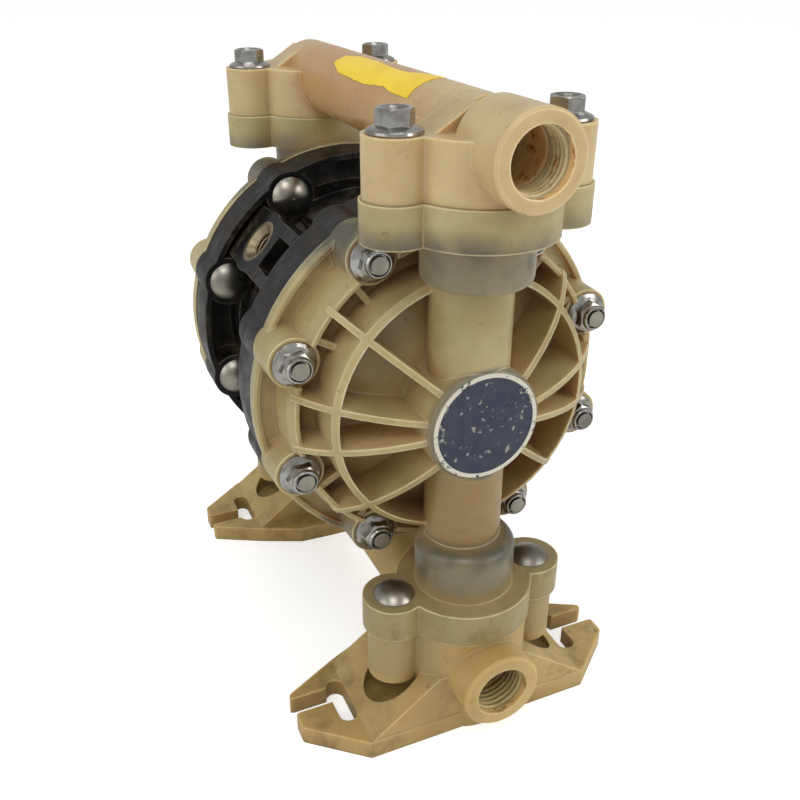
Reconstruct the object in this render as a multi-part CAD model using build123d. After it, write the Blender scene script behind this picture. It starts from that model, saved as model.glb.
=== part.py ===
from build123d import *
import math
import os

# Air operated double diaphragm pump, half inch class, all plastic wetted parts.
# Millimetres. The diaphragm shaft lies along Y, with the ports at the front, -Y. Everything is modelled about the pump's centre, on the
# shaft axis, and lifted by SHAFT_HEIGHT when it is saved, so that the feet stand on z = 0.
# "Depth" is the distance from the pump's centre plane along Y, the same at the front and the rear.

# ---- driving dimensions -------------------------------------------------------------------------
SHAFT_HEIGHT = 166.0         # shaft axis above the feet

# joint between a fluid cover and the centre housing
PARTING = 56.5               # depth of the face that clamps the diaphragm
BOLT_RING = 79.0             # radius of the cover bolt circle
BOLT_ANGLES = (20.5, 61.5, 118.5, 159.5, 200.5, 241.5, 298.5, 339.5)
SHANK = 4.0                  # M8 shank radius
HOLE = 4.3                   # clearance hole radius for M8

# fluid cover
FLANGE_R = 89.5
FLANGE_DEPTH = 59.5          # outer face of the flange, the floor of the ring channel
LIP_IN = 86.8
LIP_DEPTH = 63.0
WALL_IN = 74.0
WALL_FOOT = 79.6
WALL_TOP = 78.0
FLOOR = (75.0, 35.0, 52.0)   # dome between the ribs: reach, rise, base depth
CHAMBER = (68.0, 31.0, 50.0)  # fluid chamber dome
CHAMBER_R = 66.5
CROWN = (88.0, 66.0, 48.0)   # the curved surface in which every rib ends
COVER_BOSS = (12.6, 11.7)    # bolt boss radius at the flange and under the nut
BOSS_DEPTH = 76.5
NUT_CLEAR = 10.8             # spot face round each cover nut
BEAD = 2.0                   # half the thickness of the diaphragm's rim bead
RING_RIB_R = 62.5
RIB = 3.0
WEB_ANGLES = (30.0, 52.0, 128.0, 150.0, 210.0, 232.0, 308.0, 330.0)
WEB_DEPTH = 77.0             # top of the low webs between the ring rib and the wall
RIB_ANGLES = (-41.0, -9.5, 9.5, 41.0, 139.0, 170.5, 189.5, 221.0)
HUB_R = 27.0
HUB_DEPTH = 114.6
BADGE_R = 25.4
BADGE_THICK = 0.8

# riser at the front of each cover
RISER_DEPTH = 100.0          # depth of the manifolds' bolt line and of the valves
NECK_DEPTH = 96.0
NECK_R = 18.5
NECK_BORE = 13.0
COLLAR_R = 24.2
COLLAR_TOP = 63.0            # lower end of the upper collar
COLLAR_LOW = -65.0           # upper end of the lower collar
LOBE_R = 33.5                # middle lobe of the manifold flanges
LUG_R = 14.2
LOW_LUG_R = 15.3
LUG_X = 37.4                 # manifold bolts from the centre line
TOP_FLANGE = (84.0, 101.0)   # cover's upper flange, from and to
LOW_FLANGE = (-108.0, -91.0)
INSERT_R = 6.0               # threaded inserts for the outlet manifold's bolts
INSERT_LENGTH = 14.0
STEP_IN = 1.2                # the manifolds stand in from the cover's flange

# manifolds
TUBE_R = 17.5
TUBE_BORE = 12.5
TUBE_END = 107.0             # closed rear end of both tubes
OUTLET_PORT_R = 19.1
INLET_PORT_R = 19.8
PORT_FACE = 144.2
PORT_START = 112.0
PORT_THREAD = 13.22          # G 3/4 major radius
PORT_THREAD_LENGTH = 18.0
OUTLET_Z = 120.3
OUTLET_DECK = 125.5          # where the flange bolts seat
INLET_Z = -130.0
BASE_Z = -SHAFT_HEIGHT
FOOT_THICK = 10.0
FOOT_CORNERS = ((60.3, 126.2), (87.8, 103.5), (87.8, 80.5), (59.5, 65.5), (36, 55), (16, 54))
RAMP = ((59.5, -156.0), (24, -129.5))   # slope from the foot up to the port, as (x, z)
LOW_LUG_END = -137.0         # underside of the inlet manifold's bolt lugs
NUT_SPACE_R = 15.6           # room round each lug for a socket
NUT_POCKET_R = 10.4
SLOT_X = 64.0
SLOT_IN = 79.5               # slot's ends along Y
SLOT_OUT = 108.5
SLOT_R = 4.6
ENTRY = (83.5, 93.5)         # the slot's way in from the foot's outer edge

# check valves
SEAT_R = 18.0
SEAT_BORE = 9.5
SEAT_HEIGHT = 9.0
SEAT_BEVEL = 2.5
BALL_R = 11.5
BALL_GAP = 0.2
LIFT = 4.0
CAGE_BORE = 12.4
CAGE_HEIGHT = 24.0
INLET_SEAT_Z = -113.0        # underside of the inlet seats
OUTLET_SEAT_Z = 68.0
ORING_R = 19.9
ORING_WIRE = 1.3

# centre housing
HOUSING_FLANGE_R = 89.0
HOUSING_FLANGE_BACK = 34.5   # where the bolt heads seat
HOUSING_BOSS_R = 12.8
CORE_R = 46.0
DISH_FLOOR = 43.0
INSERT_ANGLE = 139.0
INSERT_FACE = 82.0
INSERT_DEPTH_Y = 15.0
AIR_THREAD = 6.58            # G 1/4 major radius
AIR_THREAD_LENGTH = 14.0
AIR_INSERT_R = 11.5
AIR_INSERT_LENGTH = 17.0
MUFFLER_X = 44.0
MUFFLER_THREAD = 8.33        # G 3/8 major radius
MUFFLER_Z = -62.0
BEARING = (14.0, 35.0)       # depth of each shaft bearing, from and to
BEARING_R = 11.0
SEAL_R = 12.5
PILOT_BUSH_R = 6.5
PILOT_BUSH = 30.0            # depth of the inner end of each pilot bush

# air valve, bolted to the flat pad on the +X side
VALVE_PAD_X = 60.0
GASKET = 1.5
VALVE_X0 = VALVE_PAD_X + GASKET
VALVE_X1 = 97.0
VALVE_HALF_Y = 17.0
VALVE_HALF_Z = 38.0
CAP_PLUG = 6.0
SCREW_R = 2.5
SCREW_Y = 12.5
SCREW_Z = 31.0

# moving parts
SHAFT_R = 8.0
SHAFT_HALF = 61.5
RUN_GAP = 0.05
STROKE = 5.0                 # each way
PLATE_R = 38.0
DIAPHRAGM_R = 72.5
DIAPHRAGM_THICK = 3.0
AIR_PLATE = (50.0, 55.0)     # depth of the air side plate, from and to
FLUID_PLATE_BASE = AIR_PLATE[1] + DIAPHRAGM_THICK
PILOT_Z = -26.0
PILOT_R = 3.0
PILOT_TRAVEL = 2.0
SPOOL_X = 79.0
SPOOL_R = 9.0
SPOOL_TRAVEL = 8.0
SPOOL_GAP = 0.1              # between the spool and a cap
SPOOL_LENGTH = 2 * (VALVE_HALF_Z - CAP_PLUG - SPOOL_GAP) - SPOOL_TRAVEL


# ---- helpers ------------------------------------------------------------------------------------
def turned(points):
    """Solid turned about the shaft axis from (radius, depth) corners, on the front (-Y) side."""
    outline = Polyline(*[(r, -d) for r, d in points], close=True)
    return revolve(make_face(outline), axis=Axis.Y, revolution_arc=360)


def dome(reach, rise, base):
    """Half ellipsoid of revolution that stands on the plane at the base depth, facing front."""
    half = Pos(0, -base) * Ellipse(reach, rise)
    window = Pos(reach, -base - rise) * Rectangle(2 * reach, 2 * rise)
    return revolve(half & window, axis=Axis.Y, revolution_arc=360)


def along_y(radius, d0, d1, x=0.0, z=0.0):
    """Cylinder along Y between two depths on the front side."""
    return Pos(x, -(d0 + d1) / 2, z) * Rot(90, 0, 0) * Cylinder(radius, abs(d1 - d0))


def upright(radius, z0, z1, x=0.0, y=0.0):
    return Pos(x, y, (z0 + z1) / 2) * Cylinder(radius, abs(z1 - z0))


def polar(angle, radius=BOLT_RING):
    a = math.radians(angle)
    return radius * math.cos(a), radius * math.sin(a)


def behind(shape):
    """The same thing at the rear of the pump."""
    return mirror(shape, about=Plane.XZ)


def block(x0, x1, y0, y1, z0, z1):
    return Pos((x0 + x1) / 2, (y0 + y1) / 2, (z0 + z1) / 2) * Box(x1 - x0, y1 - y0, z1 - z0)


def merged(parts):
    """Fuse a list of solids into one."""
    first, *rest = parts
    return first.fuse(*rest) if rest else first


def lobed(inset, z0, z1, lug=LUG_R):
    """Manifold flange: a round lobe about the riser with a bolt lug on each side."""
    lobe = Circle(LOBE_R - inset)
    lugs = [Pos(side * LUG_X, 0) * Circle(lug - inset) for side in (-1, 1)]
    waist = Rectangle(2 * LUG_X, 2 * (lug - inset) - 3.0)
    outline = lobe + lugs[0] + lugs[1] + waist
    plate = extrude(Plane.XY.offset(z0) * outline, z1 - z0)
    return Pos(0, -RISER_DEPTH, 0) * plate


nodes = {}


def keep(name, *solids):
    """Lift the finished pieces to their height and hold them for saving."""
    lifted = [Pos(0, 0, SHAFT_HEIGHT) * s for s in solids]
    nodes[name] = lifted[0] if len(lifted) == 1 else Compound(children=lifted)


# ---- fluid covers -------------------------------------------------------------------------------
def cover_ribs():
    """Ring rib and radial ribs, which end in the crown surface, and the low webs beside the bolts."""
    tall = 120.0
    ring = along_y(RING_RIB_R + RIB / 2, PARTING, tall) - along_y(RING_RIB_R - RIB / 2, PARTING, tall)
    ribs = [ring]
    for angle in RIB_ANGLES:
        web = block(15, WALL_TOP, -tall, -PARTING, -RIB / 2, RIB / 2)
        ribs.append(Rot(0, -angle, 0) * web)
    for angle in WEB_ANGLES:
        web = block(RING_RIB_R, WALL_TOP - 1, -WEB_DEPTH, -PARTING, -RIB / 2, RIB / 2)
        ribs.append(Rot(0, -angle, 0) * web)
    return merged(ribs) & dome(*CROWN)


def cover_shell():
    """Flange with its ring channel and lip, the outer wall and the dome between the ribs."""
    flange = turned([(0, PARTING), (FLANGE_R, PARTING), (FLANGE_R, LIP_DEPTH - 0.8),
                     (FLANGE_R - 0.8, LIP_DEPTH), (LIP_IN, LIP_DEPTH), (LIP_IN - 0.6, FLANGE_DEPTH),
                     (0, FLANGE_DEPTH)])
    wall = turned([(WALL_IN, PARTING), (WALL_FOOT, PARTING), (WALL_FOOT, FLANGE_DEPTH + 1.5),
                   (WALL_TOP, 74.0), (WALL_TOP - 2.0, 80.0), (WALL_IN, 80.0)])
    return [flange, wall & dome(*CROWN), dome(*FLOOR) & along_y(FLANGE_R, PARTING, 100)]


def cover_riser():
    """Neck, the two collars that hold the valves, and the flanges that meet the manifolds."""
    y = -RISER_DEPTH
    neck = upright(NECK_R, COLLAR_LOW - 4, COLLAR_TOP + 4, 0, -NECK_DEPTH)
    upper = upright(COLLAR_R, COLLAR_TOP, TOP_FLANGE[0] + 1, 0, y)
    upper = fillet(upper.edges().group_by(Axis.Z)[0], 4.0)
    lower = upright(COLLAR_R, LOW_FLANGE[1] - 1, COLLAR_LOW, 0, y)
    lower = fillet(lower.edges().group_by(Axis.Z)[-1], 6.0)
    return [neck, upper, lower, lobed(0, *TOP_FLANGE), lobed(0, *LOW_FLANGE, LOW_LUG_R)]


def cover_passages():
    """Fluid chamber with the seat of the diaphragm's bead, valve pockets and the bore between them."""
    y = -RISER_DEPTH
    mouth = along_y(DIAPHRAGM_R, CHAMBER[2] - 1, PARTING + BEAD)
    chamber = (dome(*CHAMBER) & along_y(CHAMBER_R, CHAMBER[2] - 1, 90)) + mouth
    upper = upright(SEAT_R, OUTLET_SEAT_Z, TOP_FLANGE[1] + 1, 0, y)
    lower = upright(SEAT_R, LOW_FLANGE[0] - 1, INLET_SEAT_Z + SEAT_HEIGHT + CAGE_HEIGHT, 0, y)
    bore = upright(NECK_BORE, LOW_FLANGE[1] + 10, OUTLET_SEAT_Z + 1, 0, -NECK_DEPTH)
    window = along_y(15.0, 60.0, NECK_DEPTH)
    return [chamber, upper, lower, bore, window]


def oring_groove(z_face, into):
    """Groove for the seal round a valve pocket, cut from the flange face."""
    outer = upright(ORING_R + ORING_WIRE, z_face, z_face + into, 0, -RISER_DEPTH)
    return outer - upright(SEAT_R, z_face, z_face + into, 0, -RISER_DEPTH)


def fluid_cover():
    parts = cover_shell() + [cover_ribs()]
    for angle in BOLT_ANGLES:
        x, z = polar(angle)
        boss = Pos(x, -(PARTING + BOSS_DEPTH) / 2, z) * Rot(90, 0, 0) * Cone(
            COVER_BOSS[0], COVER_BOSS[1], BOSS_DEPTH - PARTING)
        parts.append(boss)
    hub = along_y(HUB_R, PARTING + 2, HUB_DEPTH)
    parts.append(fillet(hub.edges().group_by(Axis.Y)[0], 2.2))
    body = merged(parts + cover_riser())
    cuts = cover_passages()
    for angle in BOLT_ANGLES:
        x, z = polar(angle)
        cuts.append(along_y(HOLE, PARTING - 1, BOSS_DEPTH + 1, x, z))
        cuts.append(along_y(NUT_CLEAR, BOSS_DEPTH, BOSS_DEPTH + 20, x, z))
    for side in (-1, 1):
        x = side * LUG_X
        cuts.append(upright(INSERT_R, TOP_FLANGE[1] - INSERT_LENGTH, TOP_FLANGE[1] + 1, x, -RISER_DEPTH))
        cuts.append(upright(HOLE, LOW_FLANGE[0] - 1, LOW_FLANGE[1] + 1, x, -RISER_DEPTH))
    seat = along_y(BADGE_R, HUB_DEPTH - 0.5, HUB_DEPTH + 2)
    cuts += [seat, oring_groove(TOP_FLANGE[1], -2 * ORING_WIRE), oring_groove(LOW_FLANGE[0], 2 * ORING_WIRE)]
    return body.cut(*cuts)


# ---- check valves -------------------------------------------------------------------------------
def valve_seat(z):
    ring = upright(SEAT_R, z, z + SEAT_HEIGHT) - upright(SEAT_BORE, z - 1, z + SEAT_HEIGHT + 1)
    top = z + SEAT_HEIGHT
    bevel = Pos(0, 0, top - SEAT_BEVEL / 2) * Cone(SEAT_BORE, SEAT_BORE + SEAT_BEVEL, SEAT_BEVEL)
    return ring - bevel


def ball_centre(seat_z):
    edge = seat_z + SEAT_HEIGHT - SEAT_BEVEL
    return edge + math.sqrt(BALL_R ** 2 - SEAT_BORE ** 2) + BALL_GAP


def ball_cage(seat_z):
    """Ring that guides the ball, with four windows and a cross above that stops it."""
    z0 = seat_z + SEAT_HEIGHT
    z1 = z0 + CAGE_HEIGHT
    stop = ball_centre(seat_z) + BALL_R + LIFT + 0.4
    ring = upright(SEAT_R, z0, z1) - upright(CAGE_BORE, z0 - 1, z1 + 1)
    for angle in (0, 90):
        window = Box(2 * SEAT_R + 2, 11, 12)
        ring -= Pos(0, 0, z0 + 11) * Rot(0, 0, angle + 45) * window
    cross = [block(-15, 15, -1.6, 1.6, stop, z1), block(-1.6, 1.6, -15, 15, stop, z1)]
    return merged([ring] + cross)


def check_valves():
    for place, z in (("inlet", INLET_SEAT_Z), ("outlet", OUTLET_SEAT_Z)):
        for side, sign in (("front", -1), ("rear", 1)):
            put = Pos(0, sign * RISER_DEPTH, 0)
            keep(f"{place}_valve_seat_{side}", put * valve_seat(z))
            keep(f"{place}_ball_cage_{side}", put * ball_cage(z))
            keep(f"{place}_ball_{side}", put * Pos(0, 0, ball_centre(z)) * Sphere(BALL_R))


def manifold_orings():
    rings = []
    for z in (TOP_FLANGE[1] - ORING_WIRE, LOW_FLANGE[0] + ORING_WIRE):
        for sign in (-1, 1):
            rings.append(Pos(0, sign * RISER_DEPTH, z) * Torus(ORING_R, ORING_WIRE))
    return rings


# ---- manifolds ----------------------------------------------------------------------------------
def pipe_run(z, port_r):
    """The tube, closed at the rear, with a thicker boss round the front port."""
    tube = along_y(TUBE_R, -TUBE_END, RISER_DEPTH + 5, 0, z)
    port = along_y(port_r, PORT_START, PORT_FACE, 0, z)
    port = chamfer(port.edges().group_by(Axis.Y)[0], 1.0)
    return [tube, port]


def pipe_bore(z, z_seam):
    """Bore of the tube, the wall of the port's thread and the branch to each riser."""
    cuts = [along_y(TUBE_BORE, -TUBE_END + 4, PORT_FACE + 1, 0, z)]
    cuts.append(along_y(PORT_THREAD, PORT_FACE - PORT_THREAD_LENGTH, PORT_FACE + 1, 0, z))
    for sign in (-1, 1):
        cuts.append(upright(TUBE_BORE - 0.5, z_seam, z, 0, sign * RISER_DEPTH))
    return cuts


def outlet_manifold():
    parts = pipe_run(OUTLET_Z, OUTLET_PORT_R)
    reach = LUG_X - 12
    gusset = Polyline((reach, OUTLET_DECK - 2), (reach, OUTLET_DECK), (9, OUTLET_Z + 15.5),
                      (-9, OUTLET_Z + 15.5), (-reach, OUTLET_DECK), (-reach, OUTLET_DECK - 2), close=True)
    gable = extrude(Plane.XZ * make_face(gusset), 9.0, both=True)
    end = lobed(STEP_IN, TOP_FLANGE[1], OUTLET_DECK)
    end = merged([end, Pos(0, -RISER_DEPTH, 0) * gable])
    body = merged(parts + [end, behind(end)])
    cuts = pipe_bore(OUTLET_Z, TOP_FLANGE[1] - 1)
    for sx in (-1, 1):
        for sy in (-1, 1):
            x, y = sx * LUG_X, sy * RISER_DEPTH
            cuts.append(upright(HOLE, TOP_FLANGE[1] - 1, OUTLET_DECK + 1, x, y))
            cuts.append(upright(NUT_CLEAR + 1, OUTLET_DECK, OUTLET_DECK + 20, x, y))
    return body.cut(*cuts)


def foot():
    """Front foot plate and the slopes that rise from it to the port."""
    outline = [(x, -y) for x, y in FOOT_CORNERS] + [(-x, -y) for x, y in reversed(FOOT_CORNERS)]
    plate = extrude(Plane.XY.offset(BASE_Z) * make_face(Polyline(*outline, close=True)), FOOT_THICK)
    plate = fillet(plate.edges().filter_by(Axis.Z), 3.0)
    slope = [(x, z) for x, z in RAMP] + [(-x, z) for x, z in reversed(RAMP)]
    low = BASE_Z + FOOT_THICK - 1
    wedge = Polyline((RAMP[0][0], low), *slope, (-RAMP[0][0], low), close=True)
    inner = FOOT_CORNERS[3][1] + 2
    outer = FOOT_CORNERS[0][1] - 0.5
    wedge = extrude(Plane.XZ.offset(inner) * make_face(wedge), outer - inner)
    return merged([plate, wedge])


def foot_slot(side):
    """J shaped slot: in from the foot's outer edge, then along the pump towards the port."""
    run = SlotCenterToCenter(SLOT_OUT - SLOT_IN - 2 * SLOT_R, 2 * SLOT_R, rotation=90)
    run = Pos(side * SLOT_X, -(SLOT_IN + SLOT_OUT) / 2) * run
    near, far = ENTRY
    entry = Polyline((side * SLOT_X, -near), (side * 86, -near), (side * 90, 1.5 - near), (side * 90, -far - 1.5),
                     (side * 86, -far), (side * SLOT_X, -far), close=True)
    return extrude(Plane.XY.offset(BASE_Z - 1) * (run + make_face(entry)), FOOT_THICK + 2)


def inlet_manifold():
    core = upright(LOBE_R - STEP_IN - 4, BASE_Z, LOW_LUG_END + 1, 0, -RISER_DEPTH)
    spaces = [upright(NUT_SPACE_R, BASE_Z + FOOT_THICK, LOW_FLANGE[0], s * LUG_X, -RISER_DEPTH) for s in (-1, 1)]
    lower = merged([core, foot()]).cut(*spaces)
    end = merged([lobed(STEP_IN, LOW_LUG_END, LOW_FLANGE[0]), lower])
    cuts = []
    for side in (-1, 1):
        x = side * LUG_X
        cuts.append(upright(NUT_POCKET_R, LOW_LUG_END - 1, LOW_LUG_END + 8, x, -RISER_DEPTH))
        cuts.append(upright(HOLE, LOW_LUG_END, LOW_FLANGE[0] + 1, x, -RISER_DEPTH))
        cuts.append(foot_slot(side))
    end = end.cut(*cuts)
    body = merged(pipe_run(INLET_Z, INLET_PORT_R) + [end, behind(end)])
    cuts = pipe_bore(INLET_Z, LOW_FLANGE[0] + 1)
    for sign in (-1, 1):
        cuts.append(upright(SEAT_R, INLET_SEAT_Z, LOW_FLANGE[0] + 1, 0, sign * RISER_DEPTH))
    return body.cut(*cuts)


# ---- fasteners ----------------------------------------------------------------------------------
def dome_bolt(length):
    """Carriage bolt standing on z = 0, its domed head below and its shank up."""
    head = Pos(0, 0, 0) * (Sphere(12.5) & Pos(0, 0, -17.5) * Box(30, 30, 20))
    head = Pos(0, 0, 7.5) * head
    return head + Pos(0, 0, length / 2) * Cylinder(SHANK, length)


def flange_nut(height=9.0, bore=SHANK):
    """Hex nut with its washer flange at z = 0."""
    washer = Cylinder(10.2, 1.6, align=(Align.CENTER, Align.CENTER, Align.MIN))
    cone = Pos(0, 0, 1.6) * Cone(9.6, 7.0, 1.4, align=(Align.CENTER, Align.CENTER, Align.MIN))
    hexagon = extrude(RegularPolygon(6.6, 6, major_radius=False), height)
    return (washer + cone + hexagon) - Cylinder(bore, 3 * height)


def hex_flange_bolt(length):
    """Head above z = 0 with its washer flange, shank below."""
    washer = Cylinder(11.2, 1.8, align=(Align.CENTER, Align.CENTER, Align.MIN))
    cone = Pos(0, 0, 1.8) * Cone(10.4, 7.2, 1.4, align=(Align.CENTER, Align.CENTER, Align.MIN))
    hexagon = extrude(RegularPolygon(6.8, 6, major_radius=False), 9.3)
    return washer + cone + hexagon + Pos(0, 0, -length / 2) * Cylinder(SHANK, length)


def cover_fasteners():
    bolts = []
    nuts = []
    for angle in BOLT_ANGLES:
        x, z = polar(angle)
        bolt = Pos(x, -HOUSING_FLANGE_BACK, z) * Rot(90, 0, 0) * dome_bolt(86.3 - HOUSING_FLANGE_BACK)
        nut = Pos(x, -BOSS_DEPTH, z) * Rot(90, 0, 0) * flange_nut()
        bolts += [bolt, behind(bolt)]
        nuts += [nut, behind(nut)]
    keep("cover_bolts", *bolts)
    keep("cover_nuts", *nuts)


def manifold_fasteners():
    spots = [(sx * LUG_X, sy * RISER_DEPTH) for sx in (-1, 1) for sy in (-1, 1)]
    top_length = OUTLET_DECK - TOP_FLANGE[1] + INSERT_LENGTH - 2
    low_length = LOW_FLANGE[1] - LOW_LUG_END - 1
    insert = upright(INSERT_R, TOP_FLANGE[1] - INSERT_LENGTH, TOP_FLANGE[1]) - Pos(0, 0, TOP_FLANGE[1]) * Cylinder(
        SHANK, 3 * INSERT_LENGTH)
    keep("outlet_manifold_bolts", *[Pos(x, y, OUTLET_DECK) * hex_flange_bolt(top_length) for x, y in spots])
    keep("outlet_bolt_inserts", *[Pos(x, y, 0) * insert for x, y in spots])
    keep("inlet_manifold_bolts",
         *[Pos(x, y, LOW_FLANGE[1]) * Rot(180, 0, 0) * dome_bolt(low_length) for x, y in spots])
    nut = Pos(0, 0, LOW_LUG_END + 8) * Rot(180, 0, 0) * flange_nut(7.0)
    keep("inlet_manifold_nuts", *[Pos(x, y, 0) * nut for x, y in spots])


# ---- centre housing -----------------------------------------------------------------------------
def housing_half():
    """Front flange of the centre housing with its bolt bosses, and the back of the air chamber."""
    back = HOUSING_FLANGE_BACK
    rim = HOUSING_FLANGE_R
    floor = back + 15
    flange = turned([(0, 0), (CORE_R, 0), (CORE_R, 27.0), (66.0, back + 5), (67.5, back), (70.5, back),
                     (71.5, floor), (rim - 4, floor), (rim - 3, back), (rim, back), (rim, PARTING), (0, PARTING)])
    parts = [flange]
    for angle in BOLT_ANGLES:
        x, z = polar(angle)
        parts.append(along_y(HOUSING_BOSS_R, back, PARTING, x, z))
    return parts


def housing_ribs():
    """Webs that tie the two flanges together round the core."""
    ribs = []
    for angle in (61.5, 90.0, 118.5, 159.5, 180.0, 200.5, 241.5, 270.0, 298.5):
        web = block(CORE_R - 2, 65, -42, 42, -1.8, 1.8)
        ribs.append(Rot(0, -angle, 0) * web)
    return ribs


def inlet_block():
    """Square boss for the air inlet, lying along the local X axis before it is turned to its angle."""
    boss = block(CORE_R - 4, INSERT_FACE, -40, 40, -15.5, 15.5)
    turret = Pos((INSERT_FACE + 50) / 2, INSERT_DEPTH_Y, 0) * Rot(0, 90, 0) * Cylinder(17.0, INSERT_FACE - 50)
    return merged([boss, turret & block(40, 90, -38, 38, -17, 17)])


def inlet_cuts():
    pocket = block(INSERT_FACE - 26, INSERT_FACE + 1, -28.5, -2.5, -9, 9)
    seat = Pos(INSERT_FACE - 8, INSERT_DEPTH_Y, 0) * Rot(0, 90, 0) * Cylinder(AIR_INSERT_R, 18)
    duct = Pos(INSERT_FACE - 26, INSERT_DEPTH_Y, 0) * Rot(0, 90, 0) * Cylinder(4.5, 24)
    return [pocket, seat, duct]


def center_housing():
    parts = housing_half()
    parts += [behind(p) for p in parts]
    parts += housing_ribs()
    parts.append(Rot(0, -INSERT_ANGLE, 0) * inlet_block())
    parts.append(block(CORE_R - 6, VALVE_PAD_X, -17, 17, -38, 38))
    parts.append(upright(13.5, MUFFLER_Z, -30, MUFFLER_X, 0))
    body = merged(parts)
    dish = turned([(0, DISH_FLOOR), (PLATE_R + 2.0, DISH_FLOOR), (CHAMBER_R - 6, PARTING - 6),
                   (CHAMBER_R, PARTING - BEAD), (DIAPHRAGM_R, PARTING - BEAD), (DIAPHRAGM_R, PARTING + 1),
                   (0, PARTING + 1)])
    cuts = [dish, behind(dish)]
    cuts.append(along_y(SHAFT_R + 0.6, -50, 50))
    for sign in (-1, 1):
        cuts.append(along_y(BEARING_R, sign * BEARING[0], sign * BEARING[1]))
        cuts.append(along_y(SEAL_R, sign * BEARING[1], sign * 50))
        cuts.append(along_y(PILOT_BUSH_R, sign * PILOT_BUSH, sign * 50, 0, PILOT_Z))
    cuts.append(along_y(PILOT_R + 2.4, -PILOT_BUSH, PILOT_BUSH, 0, PILOT_Z))
    for angle in BOLT_ANGLES:
        x, z = polar(angle)
        cuts.append(along_y(HOLE, -70, 70, x, z))
    cuts += [Rot(0, -INSERT_ANGLE, 0) * c for c in inlet_cuts()]
    cuts.append(upright(MUFFLER_THREAD, MUFFLER_Z - 1, MUFFLER_Z + 16, MUFFLER_X, 0))
    for y in (-SCREW_Y, SCREW_Y):
        for z in (-SCREW_Z, SCREW_Z):
            cuts.append(Pos(VALVE_PAD_X - 6, y, z) * Rot(0, 90, 0) * Cylinder(SCREW_R + 0.1, 17))
    for cut in cuts:
        body = body.cut(cut)
    return body


def air_insert():
    """Threaded metal insert with a bevelled mouth, moulded into the inlet block."""
    start = INSERT_FACE - AIR_INSERT_LENGTH
    body = Pos(start + AIR_INSERT_LENGTH / 2, INSERT_DEPTH_Y, 0) * Rot(0, 90, 0) * Cylinder(
        AIR_INSERT_R, AIR_INSERT_LENGTH)
    bore = Pos(INSERT_FACE, INSERT_DEPTH_Y, 0) * Rot(0, 90, 0) * Cylinder(AIR_THREAD, 60)
    mouth = Pos(INSERT_FACE - 1.5, INSERT_DEPTH_Y, 0) * Rot(0, 90, 0) * Cone(AIR_THREAD, 9.4, 3.0)
    return Rot(0, -INSERT_ANGLE, 0) * (body - bore - mouth)


# ---- air valve ----------------------------------------------------------------------------------
def air_valve_housing():
    body = block(VALVE_X0, VALVE_X1, -VALVE_HALF_Y, VALVE_HALF_Y, -VALVE_HALF_Z, VALVE_HALF_Z)
    body = fillet(body.edges().filter_by(Axis.Z), 3.0)
    rails = [block(VALVE_X1 - 1, VALVE_X1 + 2, y - 1.2, y + 1.2, -26, 26) for y in (-8, 0, 8)]
    body = merged([body] + rails)
    bore = upright(SPOOL_R, -VALVE_HALF_Z - 1, VALVE_HALF_Z + 1, SPOOL_X, 0)
    cuts = [bore]
    for y in (-SCREW_Y, SCREW_Y):
        for z in (-SCREW_Z, SCREW_Z):
            cuts.append(Pos(VALVE_X0 + 18, y, z) * Rot(0, 90, 0) * Cylinder(SCREW_R + 0.2, 60))
    return body.cut(*cuts)


def air_valve():
    keep("air_valve_housing", air_valve_housing())
    pad = block(VALVE_PAD_X, VALVE_X0, -VALVE_HALF_Y, VALVE_HALF_Y, -VALVE_HALF_Z, VALVE_HALF_Z)
    holes = []
    screws = []
    for y in (-SCREW_Y, SCREW_Y):
        for z in (-SCREW_Z, SCREW_Z):
            holes.append(Pos(VALVE_X0, y, z) * Rot(0, 90, 0) * Cylinder(SCREW_R + 0.2, 6))
            shank = Pos(VALVE_X1 - 22.5, y, z) * Rot(0, 90, 0) * Cylinder(SCREW_R, 45)
            head = Pos(VALVE_X1 + 1.6, y, z) * Rot(0, 90, 0) * Cylinder(4.4, 3.2)
            screws.append(head + shank)
    keep("air_valve_gasket", pad.cut(*holes))
    keep("air_valve_screws", *screws)
    cap = upright(SPOOL_R, VALVE_HALF_Z - CAP_PLUG, VALVE_HALF_Z, SPOOL_X) + upright(
        12.5, VALVE_HALF_Z, VALVE_HALF_Z + 4, SPOOL_X)
    keep("air_valve_cap_top", cap)
    keep("air_valve_cap_bottom", mirror(cap, about=Plane.XY))


def air_valve_spool():
    """Spool with four lands, at rest on the lower cap."""
    z0 = -VALVE_HALF_Z + CAP_PLUG + SPOOL_GAP
    land = SPOOL_R - RUN_GAP
    spool = upright(land, z0, z0 + SPOOL_LENGTH, SPOOL_X)
    for z in (12.0, 26.0, 40.0):
        outer = upright(SPOOL_R + 1, z0 + z - 3.5, z0 + z + 3.5, SPOOL_X)
        spool -= outer - upright(5.0, z0 + z - 4, z0 + z + 4, SPOOL_X)
    return spool


def muffler():
    """Exhaust silencer: threaded neck, hexagon and a ribbed body, hanging under the exhaust port."""
    top = MUFFLER_Z
    neck = upright(MUFFLER_THREAD, top, top + 12, MUFFLER_X)
    nut = Pos(MUFFLER_X, 0, top - 5) * extrude(RegularPolygon(11.0, 6, major_radius=False), 5)
    can = upright(11.0, top - 38, top - 5, MUFFLER_X)
    for i in range(5):
        z = top - 11 - 6 * i
        can -= upright(14, z - 1.5, z + 1.5, MUFFLER_X) - upright(9.8, z - 2, z + 2, MUFFLER_X)
    return merged([neck, nut, can])


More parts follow.
